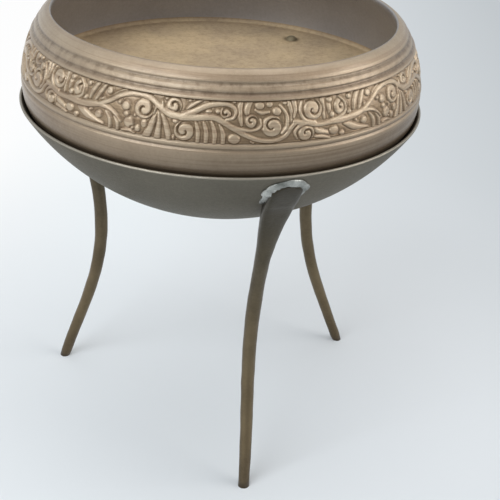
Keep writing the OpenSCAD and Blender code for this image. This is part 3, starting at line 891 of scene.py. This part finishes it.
def bowl_wall_material(name, carved):
    """Turned and carved brass: light on the carving's tops, painted shade in its ground, the grooves and down the
    belly, and a painted highlight on the fillets.
    """
    material, tree, shader, bumps, old = plain_metal(
        name, clean=(0.58, 0.465, 0.33), tarnished=(0.405, 0.307, 0.205), tarnish=0.4, rough=0.36,
        metallic=0.8, patch=45.0, contrast=0.8, coat=0.5)
    colour = tint(tree, old.outputs["Color"], wall_painted_shade(tree))
    streaks = add_group(tree, STREAKS, Round=9.0, Up=900.0)
    streak_shade = ramp(tree, streaks.outputs["Mask"], ((0.36, (0.6, 0.52, 0.47)), (0.56, WHITE)))
    colour = tint(tree, colour, streak_shade, 0.6)
    chatter = add_group(tree, STREAKS, Round=420.0, Up=210.0)
    chatter_shade = ramp(tree, chatter.outputs["Mask"], ((0.34, (0.6, 0.55, 0.5)), (0.56, WHITE)))
    chatter_share = groove_mask(tree)
    colour = tint(tree, colour, chatter_shade, chatter_share)
    if carved:
        # The carving is darker by its depth: painted shade in the cuts and on the ground between the shapes.
        relief = put(tree, "ShaderNodeAttribute", attribute_name="relief")
        colour = tint(tree, colour, ramp(tree, relief.outputs["Fac"], (
            (0.0, (0.44, 0.385, 0.315)), (0.3, (0.6, 0.545, 0.47)), (0.6, (0.84, 0.8, 0.75)), (0.85, WHITE))))
    tree.links.new(colour, shader.inputs["Base Color"])
    rings = add_group(tree, LATHE, Ring_Size=2200.0, Flat=0.0)
    height = sums(tree, "MULTIPLY_ADD", rings.outputs["Height"], 0.8, old.outputs["Height"])
    height = sums(tree, "MULTIPLY_ADD", chatter.outputs["Mask"], chatter_share, height)
    tree.links.new(height, bumps.inputs["Height"])
    return material


def ring_shade(tree, place, middle, near, far, stops):
    """Shade by the distance from an upright line, from near to far in millimetres."""
    flat = put(tree, "ShaderNodeVectorMath", operation="MULTIPLY_ADD")
    flat.inputs[1].default_value = (1, 1, 0)
    flat.inputs[2].default_value = (-middle.x, -middle.y, 0)
    tree.links.new(place, flat.inputs[0])
    return ramp(tree, spread(tree, length(tree, flat.outputs[0]), near * MM, far * MM), stops)


def floor_material():
    """Matt golden floor: mottled brown, with painted shade towards the corner all round, a painted highlight on
    the fillet, and a painted shadow about the plug.
    """
    material, tree, shader, bumps, old = plain_metal(
        "bowl_floor_brass", clean=(0.56, 0.425, 0.255), tarnished=(0.31, 0.235, 0.165), tarnish=0.4, rough=0.55,
        metallic=0.3, patch=55.0, contrast=0.9)
    place = put(tree, "ShaderNodeTexCoord").outputs["Object"]
    # Darker towards the corner, with a light ring where the fillet begins: painted shade in the corner and a
    # painted highlight on the fillet.
    corner_painted_shade = ring_shade(tree, place, Vector((0, 0, 0)), CORNER_R - 9, CORNER_R, (
        (0.0, WHITE), (0.5, (0.95, 0.93, 0.91)), (0.8, (0.78, 0.75, 0.72)), (0.9, WHITE),
        (1.0, (0.6, 0.57, 0.54))))
    plug_low, plug_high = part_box("floor_plug")
    # A dark ring round the plug: painted shadow.
    plug_painted_shadow = ring_shade(tree, place, (plug_low + plug_high) / 2, 2.0, 4.5, (
        (0.0, (0.36, 0.34, 0.29)), (0.3, (0.42, 0.4, 0.35)), (0.6, (0.8, 0.79, 0.76)), (1.0, WHITE)))
    specks = put(tree, "ShaderNodeTexNoise", Scale=480.0, Detail=4.0, Roughness=0.7)
    tree.links.new(place, specks.inputs["Vector"])
    speck_shade = ramp(tree, specks.outputs["Fac"], ((0.38, (0.84, 0.82, 0.8)), (0.52, WHITE)))
    colour = old.outputs["Color"]
    for shade in (corner_painted_shade, plug_painted_shadow, speck_shade):
        colour = tint(tree, colour, shade)
    tree.links.new(colour, shader.inputs["Base Color"])
    rings = add_group(tree, LATHE, Ring_Size=1300.0, Flat=1.0)
    height = sums(tree, "MULTIPLY_ADD", rings.outputs["Height"], 0.5, old.outputs["Height"])
    tree.links.new(height, bumps.inputs["Height"])
    return material


def leg_material():
    """Forged brass: dull olive-grey at the beaten head, browner and lighter down the shin; the darker head is
    painted shade under the dish, the lighter shin painted reflection.
    """
    material, tree, shader, _, old = plain_metal(
        "leg_brass", clean=(0.58, 0.49, 0.34), tarnished=(0.3, 0.25, 0.17), tarnish=0.45, rough=0.28,
        metallic=0.9, patch=50.0, contrast=1.0, coat=0.2)
    # Painted by height: shade at the head under the dish, and reflection lighter down the shin.
    tone = ramp(tree, height_share(tree, -RIM_H, 0.0), (
        (0.0, (0.26, 0.225, 0.19)), (0.12, (0.34, 0.3, 0.24)), (0.5, (0.29, 0.265, 0.225)),
        (0.64, (0.25, 0.24, 0.22)), (0.8, (0.14, 0.138, 0.13)), (1.0, (0.09, 0.09, 0.085))))
    tree.links.new(tint(tree, old.outputs["Color"], tone), shader.inputs["Base Color"])
    return material


def dish_material():
    """Dark spun brass with a soft sheen."""
    material, _, shader, _, _ = plain_metal(
        "dish_brass", clean=(0.185, 0.168, 0.132), tarnished=(0.105, 0.097, 0.078), tarnish=0.5, rough=0.3,
        metallic=0.75, patch=25.0, coat=0.05)
    shader.inputs["Specular Tint"].default_value = (0.55, 0.53, 0.5, 1)
    return material


BOWL_WALL_BRASS = bowl_wall_material("bowl_wall_brass", False)
BAND_BRASS = bowl_wall_material("carved_band_brass", True)
FLOOR_BRASS = floor_material()
# The bowl's inside is greyer than its brass: a painted reflection of the pale room.
INSIDE_GREY_REFLECTION = plain_metal(
    "bowl_inside_painted_reflection", clean=(0.34, 0.325, 0.32), tarnished=(0.24, 0.222, 0.212), tarnish=0.45, rough=0.42,
    metallic=0.7, patch=40.0, coat=0.4)[0]
DISH_BRASS = dish_material()
RIM_BRASS = plain_metal(
    "dish_rim_brass", clean=(0.35, 0.32, 0.265), tarnished=(0.2, 0.18, 0.15), tarnish=0.4, rough=0.32)[0]
LEG_BRASS = leg_material()
SOLDER_GREY = plain_metal(
    "solder_grey", clean=(0.52, 0.53, 0.5), tarnished=(0.15, 0.16, 0.145), tarnish=0.5, rough=0.24,
    metallic=0.9, patch=130.0, contrast=1.9, bump=0.5, coat=0.2)[0]
PLUG_BRASS = plain_metal(
    "plug_brass", clean=(0.2, 0.16, 0.095), tarnished=(0.12, 0.098, 0.06), tarnish=0.4, rough=0.5,
    metallic=0.4)[0]


def set_materials(piece, *materials):
    piece.data.materials.clear()
    for material in materials:
        piece.data.materials.append(material)


# ---------------------------------------------------------------- pieces

def build_bowl():
    """The turned bowl, with its outside, inside and floor in their own brass."""
    points, faces = turn_profile(bowl_profile(), BOWL_SIDES)
    piece = make_piece("bowl_turned", points, faces, "bowl", "bowl")
    set_materials(piece, BOWL_WALL_BRASS, INSIDE_GREY_REFLECTION, FLOOR_BRASS)
    for polygon in piece.data.polygons:
        middle = polygon.center / MM
        rise = middle.z - RIM_H
        facing_in = polygon.normal.x * middle.x + polygon.normal.y * middle.y < 0
        on_floor = math.hypot(middle.x, middle.y) < CORNER_R and FLOOR_RISE - 0.4 < rise < FLOOR_RISE + CORNER
        if on_floor:
            polygon.material_index = 2
        elif facing_in and rise > FLOOR_RISE:
            polygon.material_index = 1


def build_band():
    band = repeat_round("carved_band", scroll_tile(), SCROLL_REPEATS, BAND_BRASS)
    dress(band, "bowl", "bowl")
    point_mesh_outwards(band)


def build_dish():
    """The spun dish, with its rim in lighter brass."""
    points, faces = turn_profile(dish_profile(), DISH_SIDES)
    piece = make_piece("stand_dish_spun", points, faces, "stand", "stand_dish")
    set_materials(piece, DISH_BRASS, RIM_BRASS)
    for polygon in piece.data.polygons:
        if polygon.center.z / MM > RIM_H - 0.4:
            polygon.material_index = 1


build_bowl()
build_band()
build_dish()
for side_name, (leg_turn, foot_lean) in LEGS.items():
    set_materials(build_leg(side_name, leg_turn, foot_lean), LEG_BRASS)
    set_materials(build_solder(side_name, leg_turn), SOLDER_GREY)
set_materials(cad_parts["floor_plug"], PLUG_BRASS)


# ---------------------------------------------------------------- floor, light and camera

# How far the camera stands round from the front leg, in degrees. The backdrop's shades are turned with it.
CAMERA_TURN = -20.7
# Its place to the right, forward and up from the dish's rim, in radii of the dish
CAMERA_PLACE = (0.19, -4.76, 1.81)
CAMERA_PITCH = 29.8
CAMERA_ROLL = -3.5
SENSOR_W = 36
CAMERA_LENS = 72
FLOOR_HALF = 4.0
# Strength of the room on what it lights
ROOM_LIGHT = 0.55
# Lamps: place, height of the point they are aimed at, size, power in watts and colour
LAMPS = {
    "window": ((-0.9, -0.5, 0.9), 0.12, 0.9, 11, (0.93, 0.97, 1.0)),
    "room_fill": ((0.9, -0.5, 0.55), 0.12, 0.8, 6, (1.0, 0.97, 0.93)),
    "ceiling": ((0.1, 0.2, 1.3), 0.1, 1.2, 6, (1.0, 0.98, 0.96)),
}


def backdrop_parts(tree, place):
    """Across, deep and up parts of a place round the burner, turned with the camera."""
    turned = put(tree, "ShaderNodeVectorRotate", rotation_type="Z_AXIS", Angle=math.radians(-CAMERA_TURN))
    tree.links.new(place, turned.inputs["Vector"])
    return split(tree, turned.outputs[0])


def mix_when_seen(tree, lit, seen, share=1.0):
    """One shader for the light on the burner, and by a share another for what is seen or mirrored."""
    path = tree.nodes.new("ShaderNodeLightPath")
    direct = sums(tree, "MAXIMUM", path.outputs["Is Camera Ray"], path.outputs["Is Transmission Ray"])
    direct = sums(tree, "MAXIMUM", direct, path.outputs["Is Glossy Ray"])
    mixed = tree.nodes.new("ShaderNodeMixShader")
    tree.links.new(sums(tree, "MULTIPLY", share, direct), mixed.inputs[0])
    tree.links.new(lit.outputs[0], mixed.inputs[1])
    tree.links.new(seen.outputs[0], mixed.inputs[2])
    return mixed.outputs[0]


def build_stage():
    """A pale floor that keeps the burner's shadow. Further away it glows like a lit backdrop."""
    mesh = bpy.data.meshes.new("floor")
    corners = [(x * FLOOR_HALF, y * FLOOR_HALF, 0) for x, y in ((-1, -1), (1, -1), (1, 1), (-1, 1))]
    mesh.from_pydata(corners, [], [(0, 1, 2, 3)])
    floor = bpy.data.objects.new("floor", mesh)
    bpy.context.scene.collection.objects.link(floor)
    material = bpy.data.materials.new("pale_floor")
    material.use_nodes = True
    tree = material.node_tree
    shader = tree.nodes["Principled BSDF"]
    shader.inputs["Roughness"].default_value = 0.7
    grain = put(tree, "ShaderNodeTexNoise", Scale=6.0, Detail=3.0)
    place = put(tree, "ShaderNodeTexCoord").outputs["Object"]
    tree.links.new(place, grain.inputs["Vector"])
    colour = ramp(tree, grain.outputs["Fac"], ((0.0, (0.7, 0.73, 0.76)), (1.0, (0.76, 0.79, 0.82))))
    tree.links.new(colour, shader.inputs["Base Color"])
    # Whiter to the left
    across, deep, _ = backdrop_parts(tree, place)
    white = ramp(tree, spread(tree, across, -0.16, 0.24), (
        (0.0, WHITE), (0.25, (0.9, 0.96, 0.98)), (0.6, (0.68, 0.72, 0.75)), (1.0, (0.54, 0.575, 0.6))))
    glow = put(tree, "ShaderNodeEmission")
    tree.links.new(white, glow.inputs["Color"])
    away = spread(tree, length(tree, place), 0.06, 0.3, 0.15, 0.95, "SMOOTHSTEP")
    behind = spread(tree, deep, -0.5, 0.0, 0.6, 1.0, "SMOOTHSTEP")
    surface = mix_when_seen(tree, shader, glow, sums(tree, "MULTIPLY", away, behind))
    tree.links.new(surface, tree.nodes["Material Output"].inputs["Surface"])
    floor.data.materials.append(material)


def build_world():
    """A pale room, brighter at the sides and behind the burner than in front of it."""
    world = bpy.data.worlds.new("pale_room")
    bpy.context.scene.world = world
    world.use_nodes = True
    tree = world.node_tree
    tree.nodes.clear()
    across, deep, _ = backdrop_parts(tree, put(tree, "ShaderNodeTexCoord").outputs["Generated"])
    light = ramp(tree, sums(tree, "MULTIPLY_ADD", deep, 0.5, 0.5), (
        (0.0, (0.6, 0.61, 0.62)), (0.25, (0.74, 0.76, 0.78)), (0.5, (0.9, 0.94, 0.97)),
        (1.0, (0.92, 0.96, 0.98))))
    sides = ramp(tree, sums(tree, "MULTIPLY_ADD", across, 0.5, 0.5), (
        (0.0, WHITE), (0.3, (0.86, 0.86, 0.86)), (0.5, (0.6, 0.6, 0.6)), (0.7, (0.72, 0.71, 0.7)),
        (1.0, (0.95, 0.94, 0.93))))
    light = tint(tree, light, sides)
    room = put(tree, "ShaderNodeBackground", Strength=ROOM_LIGHT)
    seen = put(tree, "ShaderNodeBackground", Strength=1.0)
    for background in (room, seen):
        tree.links.new(light, background.inputs["Color"])
    out = tree.nodes.new("ShaderNodeOutputWorld")
    tree.links.new(mix_when_seen(tree, room, seen), out.inputs[0])


def add_lamp(name, place, aim_height, size, power, colour):
    data = bpy.data.lights.new(name, "AREA")
    data.size = size
    data.energy = power
    data.color = colour
    lamp = bpy.data.objects.new(name, data)
    bpy.context.scene.collection.objects.link(lamp)
    lamp.location = place
    lamp.rotation_euler = (Vector((0, 0, aim_height)) - Vector(place)).to_track_quat("-Z", "Y").to_euler()


def build_camera():
    """The camera stands in front, above the rim, turned to the left of the front leg and rolled a little."""
    turn = Matrix.Rotation(math.radians(CAMERA_TURN), 3, "Z")
    across, forward, up = (reach * DISH_R * MM for reach in CAMERA_PLACE)
    place = turn @ Vector((across, forward, (RIM_H + 1) * MM + up))
    pitch, roll = math.radians(CAMERA_PITCH), math.radians(CAMERA_ROLL)
    right = turn @ Vector((1, 0, 0))
    ahead = turn @ Vector((0, math.cos(pitch), -math.sin(pitch)))
    down = ahead.cross(right)
    rolled_right = math.cos(roll) * right + math.sin(roll) * down
    rolled_down = -math.sin(roll) * right + math.cos(roll) * down
    data = bpy.data.cameras.new("camera")
    data.sensor_width = SENSOR_W
    data.lens = CAMERA_LENS
    data.clip_start = 0.01
    camera = bpy.data.objects.new("camera", data)
    bpy.context.scene.collection.objects.link(camera)
    basis = Matrix((rolled_right, -rolled_down, -ahead)).transposed().to_4x4()
    basis.translation = place
    camera.matrix_world = basis
    bpy.context.scene.camera = camera


build_stage()
build_world()
for lamp_name, lamp_values in LAMPS.items():
    add_lamp(lamp_name, *lamp_values)
build_camera()
bpy.context.scene.view_settings.view_transform = "Standard"
